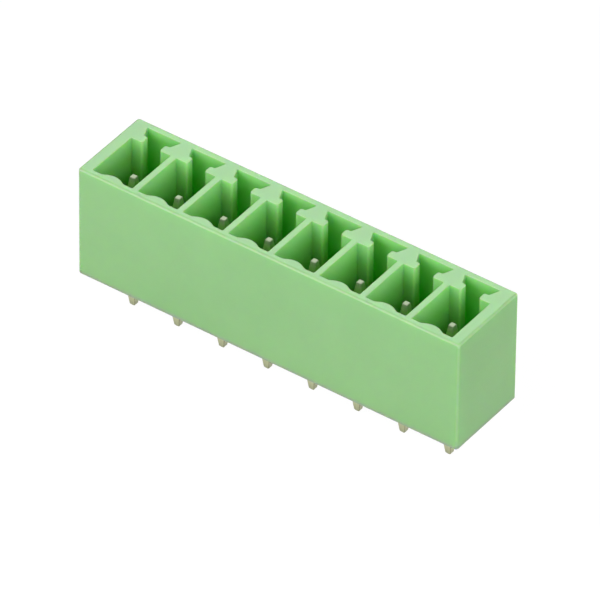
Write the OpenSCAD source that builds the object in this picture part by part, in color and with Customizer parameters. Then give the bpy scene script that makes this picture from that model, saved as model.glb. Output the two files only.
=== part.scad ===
// Upright shrouded pin header: one moulded housing with a row of keyed pockets, and a square
// contact pin pressed through the floor of each pocket. Millimetres. The board surface is z = 0,
// the contact row lies along X through the origin, and the plug comes down from +Z.

/* [Contact row] */
// Number of contacts in the row
contacts = 8; // [2:1:16]
// Distance between neighbouring contacts
pitch = 3.81; // [3.5:0.01:5.08]
// Distance from the front face back to the contact row
row_setback = 2.95; // [2.6:0.05:3.4]

/* [Housing] */
// Depth from the front face to the back face
housing_depth = 7; // [6.6:0.1:8.5]
// Height of the rim above the board
housing_height = 9.2; // [8.6:0.1:12]
// Thickness of the floor that holds the contacts
floor_thickness = 2.2; // [1.2:0.1:3]
// Thickness of the front wall
front_wall = 0.52; // [0.4:0.02:0.8]
// Thickness of the back wall
back_wall = 0.55; // [0.4:0.05:0.8]
// Thickness of each end wall
end_wall = 0.94; // [0.6:0.02:1.4]
// Thickness of the partitions between the pockets
partition = 0.48; // [0.36:0.02:0.7]
// Radius of the upright outer edges
upright_radius = 0.25; // [0.1:0.05:0.4]
// Radius of the outer edge round the rim
rim_radius = 0.2; // [0.1:0.05:0.35]
// Radius of the outer edge round the underside
base_radius = 0.12; // [0.04:0.02:0.3]

/* [Keying ribs] */
// Width of a rib where it joins the back wall
neck_width = 0.94; // [0.7:0.02:1.2]
// Width of a rib where its arms begin
flare_width = 1.64; // [1.3:0.02:1.9]
// Length of a rib from the back wall to its arms
neck_length = 0.83; // [0.6:0.01:1.1]
// Width across the two arms of a rib
arm_span = 2.36; // [2.2:0.02:2.8]
// Thickness of the arms from front to back
arm_depth = 0.7; // [0.5:0.02:0.9]
// Radius of the arms' corners
arm_radius = 0.18; // [0.06:0.02:0.22]

/* [Front bumps] */
// Width of a bump from foot to foot
bump_width = 2; // [1.4:0.1:2.4]
// Height of a bump above the front wall
bump_height = 0.32; // [0.1:0.02:0.4]
// Radius of the hollow shoulder at each foot of a bump
shoulder_radius = 0.4; // [0.1:0.05:0.6]

/* [Contact pins] */
// Width of the square pin
pin_width = 0.8; // [0.6:0.05:1]
// Height of the pin's tip above the board
pin_height = 7.85; // [6:0.05:8.6]
// Length of the solder tail below the board
tail_length = 3.5; // [2.6:0.1:5]
// Width of the flat at the pin's tip
tip_width = 0.42; // [0.2:0.02:0.58]
// Length of the pin's taper at the tip
tip_taper = 1.4; // [0.6:0.1:2]
// Width of the solder tail where its blunt end begins
tail_width = 0.44; // [0.28:0.02:0.58]
// Length of the solder tail's taper
tail_taper = 1.4; // [0.6:0.1:2]
// Width of the flat on the solder tail's blunt end
nose_width = 0.24; // [0.1:0.02:0.26]
// Length of the solder tail's blunt end
nose_length = 0.14; // [0.06:0.02:0.3]
// Clearance between a pin and its hole in the floor, on each side
pin_clearance = 0.01; // [0:0.01:0.05]
// Width of the lead-in round each hole at the underside
hole_lead_in = 0.2; // [0.05:0.05:0.3]

/* [Hidden] */
$fn = 64;

plastic_green = [0.53, 0.77, 0.46];
tinned_grey = [0.76, 0.75, 0.7];

// Length that a cut runs past the surface it opens
overcut = 0.5;

// Walls of the housing, measured from the contact row
housing_length = contacts * pitch - partition + 2 * end_wall;
front_y = -row_setback;
back_y = housing_depth - row_setback;
pocket_front_y = front_y + front_wall;
pocket_back_y = back_y - back_wall;

// Front and back of the arms on the keying ribs
arm_back_y = pocket_back_y - neck_length;
arm_front_y = arm_back_y - arm_depth;
arm_corner = min(arm_radius, (arm_span - flare_width) / 2, arm_depth / 2);

// Half widths of one pocket: between partitions, between arms, and behind the arms
pocket_half = (pitch - partition) / 2;
slot_half = (pitch - arm_span) / 2;
flare_half = (pitch - flare_width) / 2;
neck_half = (pitch - neck_width) / 2;

// The bump's crown and its two hollow shoulders meet on a common tangent
bump_half = bump_width / 2;
radii_sum = (bump_half * bump_half + bump_height * bump_height) / (2 * bump_height);
crown_radius = radii_sum - shoulder_radius;
crown_half = bump_half * crown_radius / radii_sum;
crown_foot_y = pocket_front_y + bump_height * shoulder_radius / radii_sum;

hole_half = pin_width / 2 + pin_clearance;

function contact_x(n) = (n - (contacts + 1) / 2) * pitch;

// Rectangle from x = -length / 2 with its own radius on the lower and the upper corners
module rounded_rectangle(length, low, high, low_radius, high_radius) {
    half = length / 2;
    translate([-half, low + low_radius])
        square([length, high - low - low_radius - high_radius]);
    translate([low_radius - half, low])
        square([length - 2 * low_radius, low_radius]);
    translate([high_radius - half, high - high_radius])
        square([length - 2 * high_radius, high_radius]);
    for (side = [-1, 1]) {
        translate([side * (half - low_radius), low + low_radius])
            circle(r = low_radius);
        translate([side * (half - high_radius), high - high_radius])
            circle(r = high_radius);
    }
}

// Outer block: where the plan, the front view and the side view of the moulding all agree
module outer_block() {
    mid_y = (front_y + back_y) / 2;
    intersection() {
        linear_extrude(housing_height)
            rounded_rectangle(housing_length, front_y, back_y, upright_radius, upright_radius);
        translate([0, mid_y, 0])
            rotate([90, 0, 0])
                linear_extrude(housing_depth + 2 * overcut, center = true)
                    rounded_rectangle(housing_length, 0, housing_height, base_radius, rim_radius);
        translate([0, mid_y, 0])
            rotate([90, 0, 90])
                linear_extrude(housing_length + 2 * overcut, center = true)
                    rounded_rectangle(housing_depth, 0, housing_height, base_radius, rim_radius);
    }
}

// Space that a rounded corner leaves free: a square less the quarter circle in its far corner
module corner_relief(radius) {
    difference() {
        square(radius);
        translate([radius, radius])
            circle(r = radius);
    }
}

// Front part of a pocket, from the bump on the front wall back to the arms of the ribs
module plug_space() {
    depth = arm_front_y - pocket_front_y;
    difference() {
        translate([-crown_half, crown_foot_y])
            square([2 * crown_half, arm_front_y - crown_foot_y]);
        translate([0, pocket_front_y + bump_height - crown_radius])
            circle(r = crown_radius);
    }
    for (side = [0, 1])
        mirror([side, 0]) {
            intersection() {
                translate([crown_half, front_y])
                    square([bump_half - crown_half, front_wall + shoulder_radius]);
                translate([bump_half, pocket_front_y + shoulder_radius])
                    circle(r = shoulder_radius);
            }
            translate([crown_half, pocket_front_y + shoulder_radius])
                square([bump_half - crown_half, depth - shoulder_radius]);
            translate([bump_half, pocket_front_y])
                square([pocket_half - bump_half, depth]);
        }
}

// Back part of a pocket: the slot between two arms and the dovetail behind them
module key_space() {
    translate([-slot_half, arm_front_y])
        square([2 * slot_half, arm_depth]);
    for (side = [0, 1])
        mirror([side, 0])
            translate([slot_half, arm_front_y]) {
                corner_relief(arm_corner);
                translate([0, arm_depth])
                    mirror([0, 1])
                        corner_relief(arm_corner);
            }
    polygon([
        [-flare_half, arm_back_y],
        [flare_half, arm_back_y],
        [neck_half, pocket_back_y],
        [-neck_half, pocket_back_y]
    ]);
}

// Solid whose front view and side view are both the given upright outline
module same_from_front_and_side(width) {
    intersection() {
        rotate([90, 0, 0])
            linear_extrude(width, center = true)
                children();
        rotate([90, 0, 90])
            linear_extrude(width, center = true)
                children();
    }
}

// Square hole through the floor, with a lead-in that opens at the underside
module contact_hole() {
    mouth_half = hole_half + hole_lead_in + overcut;
    translate([-hole_half, -hole_half, -overcut])
        cube([2 * hole_half, 2 * hole_half, floor_thickness + 2 * overcut]);
    same_from_front_and_side(2 * mouth_half)
        polygon([
            [-mouth_half, -overcut],
            [mouth_half, -overcut],
            [hole_half, hole_lead_in],
            [-hole_half, hole_lead_in]
        ]);
}

module housing() {
    color(plastic_green)
        difference() {
            outer_block();
            for (n = [1 : contacts])
                translate([contact_x(n), 0, 0]) {
                    translate([0, 0, floor_thickness])
                        linear_extrude(housing_height) {
                            plug_space();
                            key_space();
                        }
                    contact_hole();
                }
        }
}

// One contact pin: square wire, tapered to a flat tip above and to a blunt solder tail below
module pin(n) {
    color(tinned_grey)
        translate([contact_x(n), 0, 0])
            same_from_front_and_side(2 * pin_width)
                polygon([
                    [-nose_width / 2, -tail_length],
                    [nose_width / 2, -tail_length],
                    [tail_width / 2, nose_length - tail_length],
                    [pin_width / 2, nose_length + tail_taper - tail_length],
                    [pin_width / 2, pin_height - tip_taper],
                    [tip_width / 2, pin_height],
                    [-tip_width / 2, pin_height],
                    [-pin_width / 2, pin_height - tip_taper],
                    [-pin_width / 2, nose_length + tail_taper - tail_length],
                    [-tail_width / 2, nose_length - tail_length]
                ]);
}

housing();
for (n = [1 : contacts])
    pin(n);
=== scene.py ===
"""Upright shrouded pin header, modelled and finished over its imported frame.

The meshes are shaped in millimetres, as the moulding and its contacts are drawn, and each one is set to
metres when it is done. The frame gives the outer sizes and the contact row, and the fields below the rest.
"""

import logging
import math
from collections.abc import Callable, Iterator
from contextlib import contextmanager
from dataclasses import dataclass
from enum import Enum

import bmesh
import bpy
from mathutils import Matrix, Vector


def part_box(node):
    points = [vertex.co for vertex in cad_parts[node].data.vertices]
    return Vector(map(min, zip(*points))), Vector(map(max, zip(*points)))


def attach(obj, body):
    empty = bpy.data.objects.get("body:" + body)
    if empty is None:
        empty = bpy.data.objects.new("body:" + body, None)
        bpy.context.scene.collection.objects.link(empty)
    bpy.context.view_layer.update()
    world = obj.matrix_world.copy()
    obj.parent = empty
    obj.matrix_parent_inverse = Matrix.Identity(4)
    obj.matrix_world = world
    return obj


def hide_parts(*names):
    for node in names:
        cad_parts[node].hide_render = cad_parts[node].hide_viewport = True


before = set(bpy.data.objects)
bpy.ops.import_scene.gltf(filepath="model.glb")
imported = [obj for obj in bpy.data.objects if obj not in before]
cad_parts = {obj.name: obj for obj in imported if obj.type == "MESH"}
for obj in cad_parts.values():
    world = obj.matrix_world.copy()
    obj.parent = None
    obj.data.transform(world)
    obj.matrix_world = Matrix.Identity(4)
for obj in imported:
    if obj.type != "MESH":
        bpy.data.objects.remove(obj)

LOG = logging.getLogger("pin_header")

# One millimetre in metres, and the gap in millimetres below which two places are the same
MM = 0.001
NEAR = 1e-4
# Degrees within which neighbouring faces lie in one plane
FLAT_ANGLE = 0.1

# The frame's one body
BODY = "root"

# Where nearly all values of a noise pattern lie
NOISE_RANGE = (0.3, 0.7)
# Largest part of a unit normal: on a flat face, and from where an edge counts as fully round
ROUND_RANGE = (0.99, 0.82)
# Upward part of a unit normal: up to where a face is a wall, and from where it is a top
SLOPE_RANGE = (0.5, 0.9)
# Sockets of the colour mix node: the share and the two colours, and what comes out
MIX_SOCKETS = ("Factor_Float", "A_Color", "B_Color")
MIX_RESULT = "Result_Color"

Colour = tuple[float, float, float]
PointTest = Callable[[bmesh.types.BMVert], bool]
EdgeTest = Callable[[bmesh.types.BMEdge], bool]
FaceTest = Callable[[bmesh.types.BMFace], bool]
Box = tuple[Vector, Vector]


class Slot(Enum):
    """The record's material slots."""

    PLASTIC = "green_plastic"
    TIN = "tinned_contact"


class Kind(Enum):
    """What can be picked on a mesh, by Blender's names."""

    POINT = "VERT"
    EDGE = "EDGE"
    FACE = "FACE"


class Way(Enum):
    """The six directions of the frame."""

    LEFT = (-1.0, 0.0, 0.0)
    RIGHT = (1.0, 0.0, 0.0)
    FRONT = (0.0, -1.0, 0.0)
    BACK = (0.0, 1.0, 0.0)
    DOWN = (0.0, 0.0, -1.0)
    UP = (0.0, 0.0, 1.0)

    @property
    def vector(self) -> Vector:
        """The direction as a unit vector."""
        return Vector(self.value)

    def by(self, length: float) -> Vector:
        """A step of some length in this direction."""
        return self.vector * length

    def faces(self, face: bmesh.types.BMFace) -> bool:
        """Whether a face looks this way."""
        return face.normal.dot(self.vector) > 1 - NEAR


def near(first: float, second: float) -> bool:
    """Whether two lengths in millimetres are the same."""
    return abs(first - second) < NEAR


def is_upright(edge: bmesh.types.BMEdge) -> bool:
    """Whether an edge runs along Z."""
    one, two = (point.co for point in edge.verts)
    return near(one.x, two.x) and near(one.y, two.y)


def is_level(face: bmesh.types.BMFace) -> bool:
    """Whether a face looks straight up or straight down."""
    return abs(face.normal.z) > 1 - NEAR


@dataclass
class Workpiece:
    """A mesh on the bench, in millimetres, shaped with edit-mode operators."""

    body: bpy.types.Object

    @classmethod
    def block(cls, name: str, low: Vector, high: Vector) -> "Workpiece":
        """Start a piece from a block.

        Args:
            name: Name of the object and its mesh.
            low: Lowest corner of the block.
            high: Highest corner of the block.

        Returns:
            The new piece, selected and active.
        """
        bpy.ops.object.select_all(action="DESELECT")
        bpy.ops.mesh.primitive_cube_add(size=1.0, location=(low + high) / 2, scale=high - low)
        bpy.ops.object.transform_apply(location=True, rotation=True, scale=True)
        body = bpy.context.active_object
        body.name = body.data.name = name
        return cls(body)

    def take(self) -> None:
        """Make this the one selected and active object."""
        bpy.ops.object.select_all(action="DESELECT")
        self.body.select_set(True)
        bpy.context.view_layer.objects.active = self.body

    @contextmanager
    def editing(self) -> Iterator[None]:
        """Hold the piece in edit mode with nothing picked.

        Yields:
            Nothing, while the piece is in edit mode.
        """
        self.take()
        bpy.ops.object.mode_set(mode="EDIT")
        bpy.ops.mesh.select_all(action="DESELECT")
        yield
        bpy.ops.object.mode_set(mode="OBJECT")

    def pick(self, kind: Kind, test: PointTest | EdgeTest | FaceTest) -> None:
        """Select what passes a test, and nothing else.

        Args:
            kind: Whether points, edges or faces are selected.
            test: Which of them are wanted.
        """
        bpy.ops.mesh.select_mode(type=kind.value)
        bpy.ops.mesh.select_all(action="DESELECT")
        mesh = bmesh.from_edit_mesh(self.body.data)
        items = {Kind.POINT: mesh.verts, Kind.EDGE: mesh.edges, Kind.FACE: mesh.faces}[kind]
        for item in items:
            if test(item):
                item.select_set(True)
        mesh.select_flush_mode()
        bmesh.update_edit_mesh(self.body.data)

    def pick_points(self, test: PointTest) -> None:
        """Select the points that pass a test."""
        self.pick(Kind.POINT, test)

    def pick_edges(self, test: EdgeTest) -> None:
        """Select the edges that pass a test."""
        self.pick(Kind.EDGE, test)

    def pick_faces(self, test: FaceTest) -> None:
        """Select the faces that pass a test."""
        self.pick(Kind.FACE, test)

    def pick_uprights(self, corners: list[tuple[float, float]]) -> None:
        """Select upright edges.

        Args:
            corners: X and Y of the corners where they stand. The edges at minus X are selected with them.
        """
        self.pick_edges(
            lambda edge: is_upright(edge)
            and any(
                near(abs(edge.verts[0].co.x), x) and near(edge.verts[0].co.y, y) for x, y in corners
            )
        )

    def split(self, test: FaceTest, point: Vector, way: Way) -> None:
        """Split the faces that pass a test along a plane.

        Args:
            test: Which faces are split.
            point: A point on the plane.
            way: Direction of the plane's normal.
        """
        self.pick_faces(test)
        bpy.ops.mesh.bisect(plane_co=point, plane_no=way.vector, threshold=NEAR)

    def extrude(self, step: Vector) -> None:
        """Extrude the picked faces by a step."""
        bpy.ops.mesh.extrude_region_move(TRANSFORM_OT_translate={"value": step})

    def move(self, step: Vector) -> None:
        """Move what is picked by a step."""
        bpy.ops.transform.translate(value=step)

    def widen(self, share: float) -> None:
        """Scale what is picked in X and Y, about the Z axis."""
        bpy.ops.transform.resize(value=(share, share, 1.0), center_override=(0.0, 0.0, 0.0))

    def bevel(self, radius: float, segments: int) -> None:
        """Round the picked edges.

        Args:
            radius: Distance of the round's limits from the edge, which is its radius on a square edge.
            segments: Number of faces across the round.
        """
        bpy.ops.mesh.bevel(
            offset=radius,
            segments=segments,
            affect="EDGES",
            loop_slide=False,
            clamp_overlap=False,
        )

    def merge_flat_faces(self) -> None:
        """Dissolve the edges between faces that lie in one plane, apart from seams."""
        bpy.ops.mesh.select_all(action="SELECT")
        bpy.ops.mesh.dissolve_limited(angle_limit=math.radians(FLAT_ANGLE), delimit={"SEAM"})

    def copy(self, name: str, step: Vector) -> "Workpiece":
        """Copy the piece, with a mesh of its own.

        Args:
            name: Name of the copy.
            step: How far the copy stands from this piece.

        Returns:
            The copy.
        """
        self.take()
        bpy.ops.object.duplicate(linked=False)
        body = bpy.context.active_object
        body.name = body.data.name = name
        bpy.ops.transform.translate(value=step)
        bpy.ops.object.transform_apply(location=True, rotation=True, scale=True)
        return Workpiece(body)

    def discard(self) -> None:
        """Delete the piece."""
        self.take()
        bpy.ops.object.delete()

    def cut(self, tool: "Workpiece") -> None:
        """Take another piece's shape out of this one.

        Args:
            tool: The other piece, which is used up.
        """
        self.take()
        bpy.ops.object.modifier_add(type="BOOLEAN")
        modifier = self.body.modifiers[-1]
        modifier.operation = "DIFFERENCE"
        modifier.solver = "MANIFOLD"
        modifier.object = tool.body
        bpy.ops.object.modifier_apply(modifier=modifier.name)
        tool.discard()

    def dress(self, material: bpy.types.Material) -> None:
        """Give the whole piece one material.

        Args:
            material: The material.
        """
        self.body.data.materials.clear()
        self.body.data.materials.append(material)
        for face in self.body.data.polygons:
            face.material_index = 0

    def complete(self, smooth_angle: float) -> None:
        """Set the piece to metres and smooth it.

        Args:
            smooth_angle: Largest angle, in degrees, that is shaded as one smooth surface.
        """
        self.take()
        self.body.scale = (MM, MM, MM)
        bpy.ops.object.transform_apply(location=True, rotation=True, scale=True)
        bpy.ops.object.shade_smooth_by_angle(angle=math.radians(smooth_angle))
        bpy.ops.object.modifier_add(type="WEIGHTED_NORMAL")
        modifier = self.body.modifiers[-1]
        modifier.keep_sharp = True
        bpy.ops.object.modifier_apply(modifier=modifier.name)


class Recipe:
    """A node material that is being wired up round one principled surface."""

    def __init__(self, name: str) -> None:
        """Start a material with a principled surface and object coordinates.

        Args:
            name: Name of the material.
        """
        self.material = bpy.data.materials.new(name)
        self.material.use_nodes = True
        self.tree = self.material.node_tree
        self.tree.nodes.clear()
        self.surface = self.add("ShaderNodeBsdfPrincipled")
        output = self.add("ShaderNodeOutputMaterial")
        self.link(self.surface.outputs["BSDF"], output.inputs["Surface"])
        self.place = self.add("ShaderNodeTexCoord").outputs["Object"]

    def add(self, kind: str, **values: object) -> bpy.types.Node:
        """Add a node.

        Args:
            kind: Blender's name of the node type.
            values: Input values, with underscores for spaces in the sockets' names.

        Returns:
            The new node.
        """
        node = self.tree.nodes.new(kind)
        for name, value in values.items():
            node.inputs[name.replace("_", " ")].default_value = value
        return node

    def link(self, source: bpy.types.NodeSocket, target: bpy.types.NodeSocket) -> None:
        """Wire one socket to another."""
        self.tree.links.new(source, target)

    def noise(self, scale: Vector, detail: float) -> bpy.types.NodeSocket:
        """Add a noise pattern on object coordinates.

        Args:
            scale: Waves per metre along X, Y and Z.
            detail: Number of finer octaves.

        Returns:
            The pattern's value, nearly always within NOISE_RANGE.
        """
        mapping = self.add("ShaderNodeMapping", Scale=scale)
        self.link(self.place, mapping.inputs["Vector"])
        noise = self.add("ShaderNodeTexNoise", Scale=1.0, Detail=detail)
        self.link(mapping.outputs["Vector"], noise.inputs["Vector"])
        return noise.outputs["Fac"]

    def rounding(self) -> bpy.types.NodeSocket:
        """Find the rounded edges.

        Returns:
            The mask: 0 on faces square to the axes, and 1 about the middle of a round between two of them.
        """
        size = self.add("ShaderNodeVectorMath")
        size.operation = "ABSOLUTE"
        self.link(self.add("ShaderNodeNewGeometry").outputs["Normal"], size.inputs[0])
        parts = self.add("ShaderNodeSeparateXYZ")
        self.link(size.outputs["Vector"], parts.inputs["Vector"])
        level = self.combine("MAXIMUM", parts.outputs["X"], parts.outputs["Y"])
        largest = self.combine("MAXIMUM", level, parts.outputs["Z"])
        start, end = ROUND_RANGE
        mask = self.add("ShaderNodeMapRange", From_Min=start, From_Max=end, To_Min=0.0, To_Max=1.0)
        self.link(largest, mask.inputs["Value"])
        return mask.outputs["Result"]

    def slope(self, wall: float, top: float) -> bpy.types.NodeSocket:
        """Tell upright faces from those that look up.

        Args:
            wall: Value on upright faces.
            top: Value on faces that look up.

        Returns:
            The value.
        """
        parts = self.add("ShaderNodeSeparateXYZ")
        self.link(self.add("ShaderNodeNewGeometry").outputs["Normal"], parts.inputs["Vector"])
        start, end = SLOPE_RANGE
        value = self.add("ShaderNodeMapRange", From_Min=start, From_Max=end, To_Min=wall, To_Max=top)
        self.link(parts.outputs["Z"], value.inputs["Value"])
        return value.outputs["Result"]

    def span(
        self, axis: str, start: float, end: float, low: float = 0.0, high: float = 1.0
    ) -> bpy.types.NodeSocket:
        """Run a value along an axis.

        Args:
            axis: "X", "Y" or "Z".
            start: Place on the axis where the value leaves its first level, in metres.
            end: Place on the axis where the value reaches its second level, in metres.
            low: The first level.
            high: The second level.

        Returns:
            The value.
        """
        parts = self.add("ShaderNodeSeparateXYZ")
        self.link(self.place, parts.inputs["Vector"])
        value = self.add("ShaderNodeMapRange", From_Min=start, From_Max=end, To_Min=low, To_Max=high)
        self.link(parts.outputs[axis], value.inputs["Value"])
        return value.outputs["Result"]

    def within(self, axis: str, low: float, high: float, blur: float) -> bpy.types.NodeSocket:
        """Mask between two places on an axis.

        Args:
            axis: "X", "Y" or "Z".
            low: Where the mask begins, in metres.
            high: Where the mask ends, in metres.
            blur: Half the length over which it comes and goes, in metres.

        Returns:
            The mask.
        """
        begun = self.span(axis, low - blur, low + blur)
        ended = self.span(axis, high + blur, high - blur)
        return self.combine("MULTIPLY", begun, ended)

    def combine(
        self, operation: str, first: bpy.types.NodeSocket, second: bpy.types.NodeSocket
    ) -> bpy.types.NodeSocket:
        """Put two values together.

        Args:
            operation: Blender's name of the maths node's operation.
            first: The first value.
            second: The second value.

        Returns:
            The result.
        """
        node = self.add("ShaderNodeMath")
        node.operation = operation
        self.link(first, node.inputs[0])
        self.link(second, node.inputs[1])
        return node.outputs["Value"]

    def fade(self, mask: bpy.types.NodeSocket, colour: Colour) -> None:
        """Run the base colour, as wired so far, to another colour.

        Args:
            mask: How far it goes to the other colour, from 0 to 1.
            colour: The other colour.
        """
        base = self.surface.inputs["Base Color"]
        mix = self.add("ShaderNodeMix")
        mix.data_type = "RGBA"
        factor, first, second = (next(s for s in mix.inputs if s.identifier == n) for n in MIX_SOCKETS)
        self.link(mask, factor)
        self.link(base.links[0].from_socket, first)
        second.default_value = (*colour, 1.0)
        result = next(s for s in mix.outputs if s.identifier == MIX_RESULT)
        self.link(result, base)

    def blend(self, pattern: bpy.types.NodeSocket, low: Colour, high: Colour) -> None:
        """Let a pattern run the base colour between two shades.

        Args:
            pattern: A noise pattern.
            low: The shade at its low end.
            high: The shade at its high end.
        """
        ramp = self.add("ShaderNodeValToRGB")
        for stop, position, colour in zip(ramp.color_ramp.elements, NOISE_RANGE, (low, high)):
            stop.position = position
            stop.color = (*colour, 1.0)
        self.link(pattern, ramp.inputs["Fac"])
        self.link(ramp.outputs["Color"], self.surface.inputs["Base Color"])

    def gloss(self, pattern: bpy.types.NodeSocket, smooth: float, rough: float) -> None:
        """Let a pattern run the roughness between two values.

        Args:
            pattern: A noise pattern.
            smooth: The roughness at its low end.
            rough: The roughness at its high end.
        """
        start, end = NOISE_RANGE
        values = self.add("ShaderNodeMapRange", From_Min=start, From_Max=end, To_Min=smooth, To_Max=rough)
        self.link(pattern, values.inputs["Value"])
        self.link(values.outputs["Result"], self.surface.inputs["Roughness"])

    def relief(self, pattern: bpy.types.NodeSocket, height: float, strength: float) -> None:
        """Let a pattern raise the surface.

        Args:
            pattern: The height, from 0 to 1.
            height: Height of the relief in metres.
            strength: Share of the relief that shows.
        """
        bump = self.add("ShaderNodeBump", Strength=strength, Distance=height)
        self.link(pattern, bump.inputs["Height"])
        self.link(bump.outputs["Normal"], self.surface.inputs["Normal"])


@dataclass(frozen=True)
class PlasticFinish:
    """Satin green moulded plastic that lets a little light through where it is thin, with painted sheen,
    highlights and shade.

    Lengths are in metres.

    Attributes:
        name: Name of the material.
        shade: Darker colour of the faint clouds in the plastic.
        tint: Lighter colour of the clouds.
        edge: Paler colour of the painted sheen on the rim and of the painted highlights on the rounded
            edges round the rim and at the ends.
        end_highlight_share: How far the painted highlights on the edges at the two ends go to that colour.
        edge_blur: How softly a place of painted sheen and highlight begins.
        top_sheen_share: How far the painted sheen on the tops of the walls goes to the edge colour.
        wall: Painted sheen: paler colour of the walls just below their tops.
        wall_sheen_share: How far the walls go to that colour.
        wall_sheen_depth: Depth over which the walls lose the painted sheen.
        wall_margin: How far in from the back's rounded edge a wall still counts as the back wall.
        back_sheen_depth: Depth over which the back wall loses the painted sheen.
        foot: Painted shade: duller colour along the lower edge.
        foot_shade_height: Height at which the painted shade is gone.
        cloud_scale: Clouds' waves per metre.
        cloud_detail: Clouds' finer octaves.
        grain_scale: Moulded grain's waves per metre.
        grain_detail: Grain's finer octaves.
        grain_height: Height of the grain.
        grain_strength: Share of the grain that shows.
        smooth: Roughness in the grain's hollows.
        rough: Roughness on the grain's heights.
        scatter_weight: Share of the light that scatters inside the plastic.
        scatter_depth: How far it scatters.
        scatter_reach: Share of that depth which red, green and blue go.
        refraction: Index of refraction.
        sheen: Strength of the plastic's own gloss.
        polish: Strength of the sharper gloss over it.
        polish_roughness: Roughness of the sharper gloss.
    """

    name: str = "satin_green_moulding"
    shade: Colour = (0.235, 0.65, 0.15)
    tint: Colour = (0.265, 0.69, 0.17)
    edge: Colour = (0.42, 0.70, 0.36)
    end_highlight_share: float = 0.5
    edge_blur: float = 0.0001
    top_sheen_share: float = 0.5
    wall: Colour = (0.44, 0.80, 0.38)
    wall_sheen_share: float = 0.5
    wall_sheen_depth: float = 0.0015
    wall_margin: float = 0.0005
    back_sheen_depth: float = 0.0006
    foot: Colour = (0.32, 0.52, 0.26)
    foot_shade_height: float = 0.0004
    cloud_scale: float = 160.0
    cloud_detail: float = 3.0
    grain_scale: float = 9000.0
    grain_detail: float = 2.0
    grain_height: float = 4e-6
    grain_strength: float = 0.12
    smooth: float = 0.46
    rough: float = 0.54
    scatter_weight: float = 1.0
    scatter_depth: float = 0.0012
    scatter_reach: Colour = (0.5, 1.0, 0.12)
    refraction: float = 1.5
    sheen: float = 0.85
    polish: float = 0.5
    polish_roughness: float = 0.25

    def material(self, extent: Box) -> bpy.types.Material:
        """Make the material.

        Args:
            extent: Lowest and highest corner of the moulding, inside its rounded edges, in metres.

        Returns:
            The material.
        """
        recipe = Recipe(self.name)
        clouds = recipe.noise(Vector((self.cloud_scale,) * 3), self.cloud_detail)
        grain = recipe.noise(Vector((self.grain_scale,) * 3), self.grain_detail)
        recipe.blend(clouds, self.shade, self.tint)
        # Painted sheen on the walls inside, near their tops
        self.paint_wall_sheen(recipe, extent)
        # Painted sheen on the tops and painted highlights on the rounded edges
        self.paint_edge_highlights(recipe, extent)
        # Painted shade: duller colour along the lower edge
        recipe.fade(recipe.span("Z", self.foot_shade_height, 0.0), self.foot)
        recipe.gloss(grain, self.smooth, self.rough)
        recipe.relief(grain, self.grain_height, self.grain_strength)
        sockets = recipe.surface.inputs
        sockets["IOR"].default_value = self.refraction
        sockets["Specular IOR Level"].default_value = self.sheen
        sockets["Coat Weight"].default_value = self.polish
        sockets["Coat Roughness"].default_value = self.polish_roughness
        sockets["Subsurface Weight"].default_value = self.scatter_weight
        sockets["Subsurface Scale"].default_value = self.scatter_depth
        sockets["Subsurface Radius"].default_value = self.scatter_reach
        return recipe.material

    def paint_wall_sheen(self, recipe: Recipe, extent: Box) -> None:
        """Paint a sheen on the walls inside, paler towards their tops, the back wall only just below its
        top.

        Args:
            recipe: The material that is being wired up.
            extent: Lowest and highest corner of the moulding, inside its rounded edges, in metres.
        """
        low, high = extent
        upper = recipe.span("Z", high.z - self.wall_sheen_depth, high.z, high=self.wall_sheen_share)
        across = recipe.within("X", low.x, high.x, self.edge_blur)
        strip = recipe.span("Z", high.z - self.back_sheen_depth, high.z)
        back = recipe.combine("MULTIPLY", strip, recipe.within("Y", low.y, high.y, self.edge_blur))
        along = recipe.within("Y", low.y, high.y - self.wall_margin, self.edge_blur)
        inside = recipe.combine("MULTIPLY", across, recipe.combine("MAXIMUM", along, back))
        walls = recipe.combine("MULTIPLY", inside, recipe.slope(1.0, 0.0))
        # Painted sheen: the walls run to the paler wall colour towards their tops
        recipe.fade(recipe.combine("MULTIPLY", upper, walls), self.wall)

    def paint_edge_highlights(self, recipe: Recipe, extent: Box) -> None:
        """Paint a sheen on the tops, and highlights on the rounded edges round the rim and up the two
        ends.

        Args:
            recipe: The material that is being wired up.
            extent: Lowest and highest corner of the moulding, inside its rounded edges, in metres.
        """
        low, high = extent
        rim = recipe.span("Z", high.z - self.edge_blur, high.z)
        # Painted sheen: the tops at the rim run part way to the paler edge colour
        recipe.fade(recipe.combine("MULTIPLY", rim, recipe.slope(0.0, self.top_sheen_share)), self.edge)
        # Painted highlights: the rounded edges round the rim and at both ends run to the paler edge colour
        right = recipe.span("X", high.x - self.edge_blur, high.x, high=self.end_highlight_share)
        left = recipe.span("X", low.x + self.edge_blur, low.x, high=self.end_highlight_share)
        outer = recipe.combine("MAXIMUM", rim, recipe.combine("MAXIMUM", left, right))
        recipe.fade(recipe.combine("MULTIPLY", recipe.rounding(), outer), self.edge)


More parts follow.
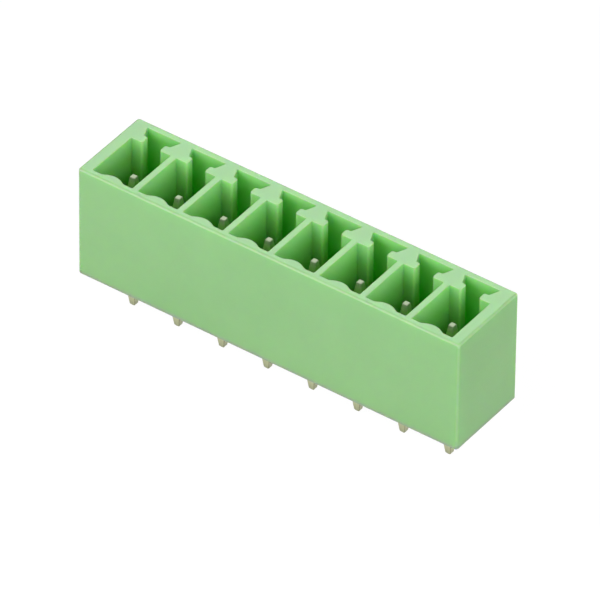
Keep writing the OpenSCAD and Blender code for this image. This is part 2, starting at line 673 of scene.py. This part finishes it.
@dataclass(frozen=True)
class TinFinish:
    """Satin tin plating on drawn wire, with faint streaks along the wire, a painted reflection in the
    pockets and painted shade on the tails' edges.

    Lengths are in metres.

    Attributes:
        name: Name of the material.
        shade: Darker colour of the streaks.
        tint: Lighter colour of the streaks.
        pocket: Painted reflection: colour inside the pocket, greener where the plating would mirror its
            green walls.
        pocket_low: Height at which that colour begins.
        pocket_high: Height at which it ends.
        pocket_blur: Half the length over which it comes and goes.
        tail: Colour of the solder tail.
        tail_edge_shade: Painted shade: darker colour of the tail's rounded edges.
        tail_start: Height at which the tail's colour begins.
        tail_end: Height from which it is complete.
        streak_scale: Streaks' waves per metre across the wire.
        streak_stretch: Share of those waves along the wire.
        streak_detail: Streaks' finer octaves.
        streak_height: Height of the streaks.
        streak_strength: Share of their height that shows.
        smooth: Roughness in the streaks' hollows.
        rough: Roughness on the streaks' heights.
        metal: How metallic the plating is.
    """

    name: str = "satin_tin_plating"
    shade: Colour = (0.39, 0.44, 0.29)
    tint: Colour = (0.53, 0.58, 0.41)
    pocket: Colour = (0.55, 0.76, 0.29)
    pocket_low: float = 0.0011
    pocket_high: float = 0.0075
    pocket_blur: float = 0.00025
    tail: Colour = (0.58, 0.62, 0.34)
    tail_edge_shade: Colour = (0.27, 0.27, 0.16)
    tail_start: float = -0.0010
    tail_end: float = -0.0025
    streak_scale: float = 16000.0
    streak_stretch: float = 0.06
    streak_detail: float = 3.0
    streak_height: float = 6e-6
    streak_strength: float = 0.35
    smooth: float = 0.38
    rough: float = 0.50
    metal: float = 0.45

    def material(self) -> bpy.types.Material:
        """Make the material.

        Returns:
            The material.
        """
        recipe = Recipe(self.name)
        across = self.streak_scale
        streaks = recipe.noise(Vector((across, across, across * self.streak_stretch)), self.streak_detail)
        recipe.blend(streaks, self.shade, self.tint)
        # Painted reflection of the green walls on the pins inside the pockets
        recipe.fade(recipe.within("Z", self.pocket_low, self.pocket_high, self.pocket_blur), self.pocket)
        tails = recipe.span("Z", self.tail_start, self.tail_end)
        recipe.fade(tails, self.tail)
        # Painted shade: darker colour on the tails' rounded edges
        recipe.fade(recipe.combine("MULTIPLY", recipe.rounding(), tails), self.tail_edge_shade)
        recipe.gloss(streaks, self.smooth, self.rough)
        recipe.relief(streaks, self.streak_height, self.streak_strength)
        recipe.surface.inputs["Metallic"].default_value = self.metal
        return recipe.material


@dataclass
class ContactRow:
    """The row of square contact pins, tapered to a flat tip above and a blunt solder tail below.

    Sizes are in millimetres. The wire's width, the pitch and the two ends come from the frame.

    Attributes:
        names: Names of the frame's pins, from left to right.
        places: X of each pin.
        width: Width of the square wire.
        tip_z: Height of the tips.
        tail_z: Height of the tails' ends.
        tip_width: Width of the flat on the tip.
        tip_taper: Length of the taper to the tip.
        tail_width: Width of the tail where its blunt nose begins.
        tail_taper: Length of the taper to the nose.
        nose_width: Width of the flat on the nose.
        nose_length: Length of the nose.
        corner_radius: Radius of the wire's long edges.
        end_radius: Radius round the tip and the nose, small enough that no face folds over at a corner.
        corner_segments: Faces across each of these rounds.
        smooth_angle: Largest angle, in degrees, that is shaded as one smooth surface.
    """

    names: list[str]
    places: list[float]
    width: float
    tip_z: float
    tail_z: float
    tip_width: float = 0.42
    tip_taper: float = 1.4
    tail_width: float = 0.44
    tail_taper: float = 1.4
    nose_width: float = 0.24
    nose_length: float = 0.14
    corner_radius: float = 0.05
    end_radius: float = 0.04
    corner_segments: int = 3
    smooth_angle: float = 30.0

    @classmethod
    def from_frame(cls) -> "ContactRow":
        """Read the contact row off the frame.

        Returns:
            The row.
        """
        pins = (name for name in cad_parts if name.startswith("pin_"))
        names = sorted(pins, key=lambda name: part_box(name)[0].x)
        boxes = [tuple(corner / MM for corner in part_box(name)) for name in names]
        low, high = boxes[0]
        return cls(
            names=names,
            places=[(one.x + two.x) / 2 for one, two in boxes],
            width=high.x - low.x,
            tip_z=high.z,
            tail_z=low.z,
        )

    @property
    def pitch(self) -> float:
        """Distance between neighbouring contacts."""
        return (self.places[-1] - self.places[0]) / (len(self.places) - 1)

    def model_pin(self) -> Workpiece:
        """Model one pin on the Z axis.

        Returns:
            The pin, in millimetres.
        """
        half = self.width / 2
        shoulder_z = self.tip_z - self.tip_taper
        heel_z = self.tail_z + self.nose_length + self.tail_taper
        pin = Workpiece.block("pin", Vector((-half, -half, heel_z)), Vector((half, half, shoulder_z)))
        with pin.editing():
            pin.pick_faces(Way.UP.faces)
            pin.extrude(Way.UP.by(self.tip_taper))
            pin.widen(self.tip_width / self.width)
            pin.pick_faces(Way.DOWN.faces)
            pin.extrude(Way.DOWN.by(self.tail_taper))
            pin.widen(self.tail_width / self.width)
            pin.extrude(Way.DOWN.by(self.nose_length))
            pin.widen(self.nose_width / self.tail_width)
            pin.pick_edges(lambda edge: not near(edge.verts[0].co.z, edge.verts[1].co.z))
            pin.bevel(self.corner_radius, self.corner_segments)
            pin.pick_edges(self.is_end_rim)
            pin.bevel(self.end_radius, self.corner_segments)
        return pin

    def is_end_rim(self, edge: bmesh.types.BMEdge) -> bool:
        """Tell the edges round the tip and the nose.

        Args:
            edge: An edge of the pin.

        Returns:
            Whether it runs round the tip or round either end of the nose.
        """
        one, two = (point.co.z for point in edge.verts)
        ends = (self.tip_z, self.tail_z, self.tail_z + self.nose_length)
        return near(one, two) and any(near(one, end) for end in ends)

    def build(self, finish: TinFinish) -> list[bpy.types.Object]:
        """Model the pin once and copy it to each place in the row.

        Args:
            finish: The pins' finish.

        Returns:
            The pins, in metres.
        """
        pattern = self.model_pin()
        material = finish.material()
        pins = []
        for name, place in zip(self.names, self.places):
            pin = pattern.copy(f"contact_{name}", Way.RIGHT.by(place))
            pin.complete(self.smooth_angle)
            pin.dress(material)
            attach(pin.body, BODY)
            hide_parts(name)
            LOG.info("%s stands at x = %.3f mm", pin.body.name, place)
            pins.append(pin.body)
        pattern.discard()
        return pins


@dataclass
class Housing:
    """The green moulding: a rounded block with one keyed pocket and one pin hole for each contact.

    Sizes are in millimetres. The outer corners and the contact row come from the frame.

    Attributes:
        low: Lowest corner of the moulding.
        high: Highest corner of the moulding.
        row: The contact row.
        floor_thickness: Thickness of the floor that holds the pins.
        front_wall: Thickness of the front wall.
        back_wall: Thickness of the back wall.
        partition: Thickness of the partitions between the pockets.
        upright_radius: Radius of the upright outer edges.
        rim_radius: Radius of the outer edge round the rim.
        base_radius: Radius of the outer edge round the underside.
        neck_width: Width of a keying rib where it joins the back wall.
        flare_width: Width of a rib where its arms begin.
        neck_length: Length of a rib from the back wall to its arms.
        arm_span: Width across the two arms of a rib.
        arm_depth: Thickness of the arms from front to back.
        arm_radius: Radius of the arms' corners.
        bump_width: Width of a bump on the front wall.
        bump_height: Height of a bump.
        shoulder_radius: Radius of the hollow shoulder at each foot of a bump.
        bump_steps: Faces across a bump.
        corner_radius: Radius of the pockets' upright corners.
        floor_radius: Radius round the pockets' floors, small enough that no face folds over at a corner.
        mouth_radius: Radius round the pockets' mouths.
        hole_clearance: Clearance between a pin and its hole, on each side.
        hole_lead_in: Width of the lead-in round each hole at the underside.
        overcut: Length that a cut runs past the surface it opens.
        outer_segments: Faces across the outer rounds.
        arm_segments: Faces across the rounds of the arms.
        inner_segments: Faces across the other rounds of the pockets.
        smooth_angle: Largest angle, in degrees, that is shaded as one smooth surface.
    """

    low: Vector
    high: Vector
    row: ContactRow
    floor_thickness: float = 2.2
    front_wall: float = 0.52
    back_wall: float = 0.55
    partition: float = 0.48
    upright_radius: float = 0.25
    rim_radius: float = 0.2
    base_radius: float = 0.12
    neck_width: float = 0.94
    flare_width: float = 1.64
    neck_length: float = 0.83
    arm_span: float = 2.36
    arm_depth: float = 0.7
    arm_radius: float = 0.18
    bump_width: float = 2.0
    bump_height: float = 0.32
    shoulder_radius: float = 0.4
    bump_steps: int = 16
    corner_radius: float = 0.08
    floor_radius: float = 0.04
    mouth_radius: float = 0.06
    hole_clearance: float = 0.01
    hole_lead_in: float = 0.2
    overcut: float = 0.5
    outer_segments: int = 6
    arm_segments: int = 4
    inner_segments: int = 3
    smooth_angle: float = 35.0

    @classmethod
    def from_frame(cls, row: ContactRow) -> "Housing":
        """Read the outer corners off the frame."""
        low, high = (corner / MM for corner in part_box("housing"))
        return cls(low=low, high=high, row=row)

    @property
    def pocket_front(self) -> float:
        """Y of the front wall's inner face."""
        return self.low.y + self.front_wall

    @property
    def pocket_back(self) -> float:
        """Y of the back wall's inner face."""
        return self.high.y - self.back_wall

    @property
    def arm_back(self) -> float:
        """Y of the back of the rib arms."""
        return self.pocket_back - self.neck_length

    @property
    def arm_front(self) -> float:
        """Y of the front of the rib arms."""
        return self.arm_back - self.arm_depth

    @property
    def floor(self) -> float:
        """Z of the pocket floors."""
        return self.low.z + self.floor_thickness

    def half_gap(self, rib: float) -> float:
        """Half the pocket's width beside a rib or partition of some thickness."""
        return (self.row.pitch - rib) / 2

    def bump_at(self, x: float) -> float:
        """Height of the bump on the front wall.

        Args:
            x: Distance from the middle of the pocket.

        Returns:
            The height: a round crown that runs into a hollow shoulder on each side.
        """
        half = self.bump_width / 2
        radii = (half**2 + self.bump_height**2) / (2 * self.bump_height)
        crown_radius = radii - self.shoulder_radius
        if abs(x) >= half:
            return 0.0
        if abs(x) <= half * crown_radius / radii:
            return self.bump_height - crown_radius + math.sqrt(crown_radius**2 - x**2)
        return self.shoulder_radius - math.sqrt(self.shoulder_radius**2 - (half - abs(x)) ** 2)

    def model_block(self) -> Workpiece:
        """Model the outer block with its rounded edges.

        Returns:
            The block, in millimetres.
        """
        block = Workpiece.block("shrouded_housing", self.low, self.high)
        with block.editing():
            block.pick_edges(is_upright)
            block.bevel(self.upright_radius, self.outer_segments)
            for level, radius in ((self.high.z, self.rim_radius), (self.low.z, self.base_radius)):
                block.pick_edges(lambda edge: all(near(point.co.z, level) for point in edge.verts))
                block.bevel(radius, self.outer_segments)
        return block

    def model_core(self) -> Workpiece:
        """Model the mould's core for one pocket, with the contact on the Z axis.

        Returns:
            The core, in millimetres: the pocket's space, from its floor to above the rim.
        """
        wide = self.half_gap(self.partition)
        slot = self.half_gap(self.arm_span)
        flare = self.half_gap(self.flare_width)
        neck = self.half_gap(self.neck_width)
        top = self.high.z + self.overcut
        core = Workpiece.block(
            "pocket_core",
            Vector((-wide, self.pocket_front, self.floor)),
            Vector((wide, self.arm_front, top)),
        )
        with core.editing():
            self.shape_bump(core)
            for way in (Way.LEFT, Way.RIGHT):
                core.split(Way.BACK.faces, way.by(slot), way)
            core.pick_faces(lambda face: Way.BACK.faces(face) and abs(face.calc_center_median().x) < slot)
            core.extrude(Way.BACK.by(self.arm_depth))
            core.extrude(Way.BACK.by(self.neck_length))
            for way in (Way.LEFT, Way.RIGHT):
                core.pick_faces(
                    lambda face: way.faces(face) and face.calc_center_median().y > self.arm_back
                )
                core.extrude(way.by(flare - slot))
                edge_place = way.by(flare) + Way.BACK.by(self.pocket_back)
                core.pick_points(lambda point: near((point.co - edge_place).to_2d().length, 0.0))
                core.move(way.by(neck - flare))
            core.pick_uprights([(slot, self.arm_front), (slot, self.arm_back)])
            core.bevel(self.arm_radius, self.arm_segments)
            core.pick_uprights([(wide, self.pocket_front), (wide, self.arm_front)])
            core.bevel(self.corner_radius, self.inner_segments)
            core.pick_uprights([(flare, self.arm_back), (neck, self.pocket_back)])
            core.bevel(self.corner_radius, self.inner_segments)
            core.merge_flat_faces()
            core.pick_edges(lambda edge: all(near(point.co.z, self.floor) for point in edge.verts))
            core.bevel(self.floor_radius, self.inner_segments)
        return core

    def shape_bump(self, core: Workpiece) -> None:
        """Press the bump's curve into the front of a core.

        Args:
            core: The core, in edit mode.
        """
        for step in range(self.bump_steps + 1):
            x = self.bump_width * (step / self.bump_steps - 0.5)
            core.split(Way.FRONT.faces, Way.RIGHT.by(x), Way.RIGHT)
        for step in range(1, self.bump_steps):
            x = self.bump_width * (step / self.bump_steps - 0.5)
            core.pick_points(lambda point: near(point.co.x, x) and near(point.co.y, self.pocket_front))
            core.move(Way.BACK.by(self.bump_at(x)))

    def model_hole(self) -> Workpiece:
        """Model the space of one pin hole, with the contact on the Z axis.

        Returns:
            The square hole with a lead-in that widens towards the underside, in millimetres.
        """
        half = self.row.width / 2 + self.hole_clearance
        below = half + self.hole_lead_in + self.overcut
        hole = Workpiece.block(
            "pin_hole",
            Vector((-half, -half, self.low.z + self.hole_lead_in)),
            Vector((half, half, self.floor + self.overcut)),
        )
        with hole.editing():
            hole.pick_faces(Way.DOWN.faces)
            hole.extrude(Way.DOWN.by(self.hole_lead_in + self.overcut))
            hole.widen(below / half)
        return hole

    def split_flats(self, housing: Workpiece) -> None:
        """Split the level faces through the middle of each pocket, so that no face has a hole in it.

        Seams hold the splits while other flat faces merge, and are cleared at the end.

        Args:
            housing: The moulding with its pockets and holes, in edit mode.
        """
        for place in self.row.places:
            housing.split(is_level, Way.RIGHT.by(place), Way.RIGHT)
            housing.pick_edges(
                lambda edge: all(near(point.co.x, place) for point in edge.verts)
                and all(is_level(face) for face in edge.link_faces)
            )
            bpy.ops.mesh.mark_seam()
        housing.merge_flat_faces()
        bpy.ops.mesh.select_all(action="SELECT")
        bpy.ops.mesh.mark_seam(clear=True)

    def is_mouth(self, edge: bmesh.types.BMEdge) -> bool:
        """Tell the edges round the pockets' mouths.

        Args:
            edge: An edge of the moulding.

        Returns:
            Whether it lies on the rim, with a wall on one side.
        """
        if not all(near(point.co.z, self.high.z) for point in edge.verts):
            return False
        return any(abs(face.normal.z) < NEAR for face in edge.link_faces)

    def build(self, finish: PlasticFinish) -> bpy.types.Object:
        """Mould the housing.

        Args:
            finish: The plastic's finish.

        Returns:
            The housing, in metres.
        """
        housing = self.model_block()
        for tool in (self.model_core(), self.model_hole()):
            for place in self.row.places:
                housing.cut(tool.copy("cut", Way.RIGHT.by(place)))
            tool.discard()
        with housing.editing():
            self.split_flats(housing)
            housing.pick_edges(self.is_mouth)
            housing.bevel(self.mouth_radius, self.inner_segments)
        housing.complete(self.smooth_angle)
        inset = Vector(3 * (self.upright_radius,))
        extent = ((self.low + inset) * MM, (self.high - inset) * MM)
        housing.dress(finish.material(extent))
        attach(housing.body, BODY)
        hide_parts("housing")
        LOG.info("%s has %d pockets", housing.body.name, len(self.row.places))
        return housing.body


def direction(azimuth: float, elevation: float) -> Vector:
    """Unit vector towards a viewpoint.

    Args:
        azimuth: Degrees round from the front, towards the right end.
        elevation: Degrees above the horizon.

    Returns:
        The vector from the part to the viewpoint.
    """
    turn, rise = math.radians(azimuth), math.radians(elevation)
    return Vector((math.sin(turn) * math.cos(rise), -math.cos(turn) * math.cos(rise), math.sin(rise)))


@dataclass(frozen=True)
class SoftLight:
    """One soft studio lamp, aimed at the middle of the part.

    Attributes:
        name: Name of the lamp.
        azimuth: Degrees round from the front, towards the right end.
        elevation: Degrees above the horizon.
        power: Watts.
        distance: Metres from the part.
        size: Diameter of the disk in metres.
        tint: Colour of the light.
    """

    name: str
    azimuth: float
    elevation: float
    power: float
    distance: float = 0.7
    size: float = 0.7
    tint: Colour = (1.0, 1.0, 1.0)

    def build(self, target: Vector) -> bpy.types.Object:
        """Hang the lamp.

        Args:
            target: The point that it is aimed at.

        Returns:
            The lamp.
        """
        back = direction(self.azimuth, self.elevation)
        bpy.ops.object.light_add(type="AREA", location=target + back * self.distance)
        lamp = bpy.context.active_object
        lamp.name = self.name
        lamp.rotation_euler = back.to_track_quat("Z", "Y").to_euler()
        lamp.data.shape = "DISK"
        lamp.data.size = self.size
        lamp.data.energy = self.power
        lamp.data.color = self.tint
        return lamp


@dataclass(frozen=True)
class Studio:
    """A white table, soft lamps all round and the camera.

    The camera's lengths are in millimetres, from the middle of the housing's lower front edge. The table's
    lengths are in metres.

    Attributes:
        azimuth: The camera's degrees round from the front, towards the right end.
        elevation: The camera's degrees above the horizon.
        roll: Degrees by which the camera leans about its line of sight.
        distance: How far back the camera stands.
        focal_pixels: Focal length in pixels of the image.
        image_pixels: Width of the image in pixels.
        sensor: Width of the camera's sensor.
        aim_right: How far the camera is moved to its right.
        aim_up: How far the camera is moved up in its view.
        table_size: Side of the table.
        table_albedo: Share of the lamps' light that the table returns.
        table_roughness: Roughness of the table.
        table_dim: Glow of the table from the contact row back.
        table_bright: Glow of the table in front of the part.
        table_reach: Length over which the glow changes.
        lamps: The lamps.
    """

    azimuth: float = 35.41
    elevation: float = 39.59
    roll: float = 0.68
    distance: float = 744.2
    focal_pixels: float = 10927.0
    image_pixels: float = 600.0
    sensor: float = 36.0
    aim_right: float = 2.350
    aim_up: float = 4.156
    table_size: float = 4.0
    table_albedo: float = 0.06
    table_roughness: float = 0.9
    table_dim: float = 0.97
    table_bright: float = 1.6
    table_reach: float = 0.012
    lamps: tuple[SoftLight, ...] = (
        SoftLight("left_softbox", azimuth=-35.0, elevation=33.0, power=2.8),
        SoftLight("front_softbox", azimuth=0.0, elevation=22.0, power=1.6),
        SoftLight("right_softbox", azimuth=75.0, elevation=26.0, power=3.1),
        SoftLight("end_softbox", azimuth=135.0, elevation=25.0, power=1.0),
        SoftLight(
            "back_softbox", azimuth=215.0, elevation=40.0, power=1.25, size=0.35, tint=(0.97, 0.98, 1.04)
        ),
        SoftLight("rear_fill", azimuth=190.0, elevation=-15.0, power=1.7, size=0.35),
    )

    def build_table(self, level: float) -> bpy.types.Object:
        """Lay the white table under the solder tails.

        Args:
            level: Height of the table's top in metres.

        Returns:
            The table.
        """
        bpy.ops.object.select_all(action="DESELECT")
        bpy.ops.mesh.primitive_plane_add(size=self.table_size, location=(0.0, 0.0, level))
        table = bpy.context.active_object
        table.name = "white_table"
        recipe = Recipe("white_table")
        recipe.surface.inputs["Base Color"].default_value = (*(3 * [self.table_albedo]), 1.0)
        recipe.surface.inputs["Roughness"].default_value = self.table_roughness
        recipe.surface.inputs["Specular IOR Level"].default_value = 0.0
        recipe.surface.inputs["Emission Color"].default_value = (1.0, 1.0, 1.0, 1.0)
        glow = recipe.span("Y", 0.0, -self.table_reach, self.table_dim, self.table_bright)
        recipe.link(glow, recipe.surface.inputs["Emission Strength"])
        table.data.materials.append(recipe.material)
        table.visible_diffuse = table.visible_shadow = False
        return table

    def light(self, target: Vector) -> None:
        """Light the part, and show colours without a film curve.

        Args:
            target: The middle of the part in metres.
        """
        self.build_sky()
        for lamp in self.lamps:
            lamp.build(target)
        bpy.context.scene.view_settings.view_transform = "Standard"

    def build_sky(self) -> bpy.types.World:
        """Hang a white backdrop all round, which only the camera sees.

        Returns:
            The backdrop.
        """
        world = bpy.data.worlds.new("studio")
        world.use_nodes = True
        world.node_tree.nodes["Background"].inputs["Color"].default_value = (1.0, 1.0, 1.0, 1.0)
        world.cycles_visibility.diffuse = world.cycles_visibility.glossy = False
        bpy.context.scene.world = world
        return world

    def build_camera(self, housing: Housing) -> bpy.types.Object:
        """Set up the camera at the photograph's place.

        Args:
            housing: The housing that the camera was measured from.

        Returns:
            The camera.
        """
        back = direction(self.azimuth, self.elevation)
        right = Vector((0.0, 0.0, 1.0)).cross(back).normalized()
        up = back.cross(right)
        tilt = math.radians(self.roll)
        level_right = right * math.cos(tilt) + up * math.sin(tilt)
        level_up = up * math.cos(tilt) - right * math.sin(tilt)
        start = Vector(((housing.low.x + housing.high.x) / 2, housing.low.y, housing.low.z))
        place = start + back * self.distance + level_right * self.aim_right + level_up * self.aim_up
        bpy.ops.object.camera_add()
        camera = bpy.context.active_object
        camera.name = "photo_camera"
        turn = Matrix((level_right, level_up, back)).transposed().to_4x4()
        camera.matrix_world = Matrix.Translation(place * MM) @ turn
        camera.data.sensor_width = self.sensor
        camera.data.lens = self.sensor * self.focal_pixels / self.image_pixels
        bpy.context.scene.camera = camera
        return camera


def corners(box: Box) -> list[list[float]]:
    """A box's two corners as plain lists."""
    return [list(corner) for corner in box]


def main() -> None:
    """Build the part and its studio."""
    logging.basicConfig(level=logging.INFO, format="%(name)s: %(message)s")
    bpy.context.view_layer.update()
    row = ContactRow.from_frame()
    housing = Housing.from_frame(row)
    housing.build(PlasticFinish())
    row.build(TinFinish())
    studio = Studio()
    studio.build_table(row.tail_z * MM)
    studio.light((housing.low + housing.high) / 2 * MM)
    studio.build_camera(housing)


if __name__ == "__main__":
    main()
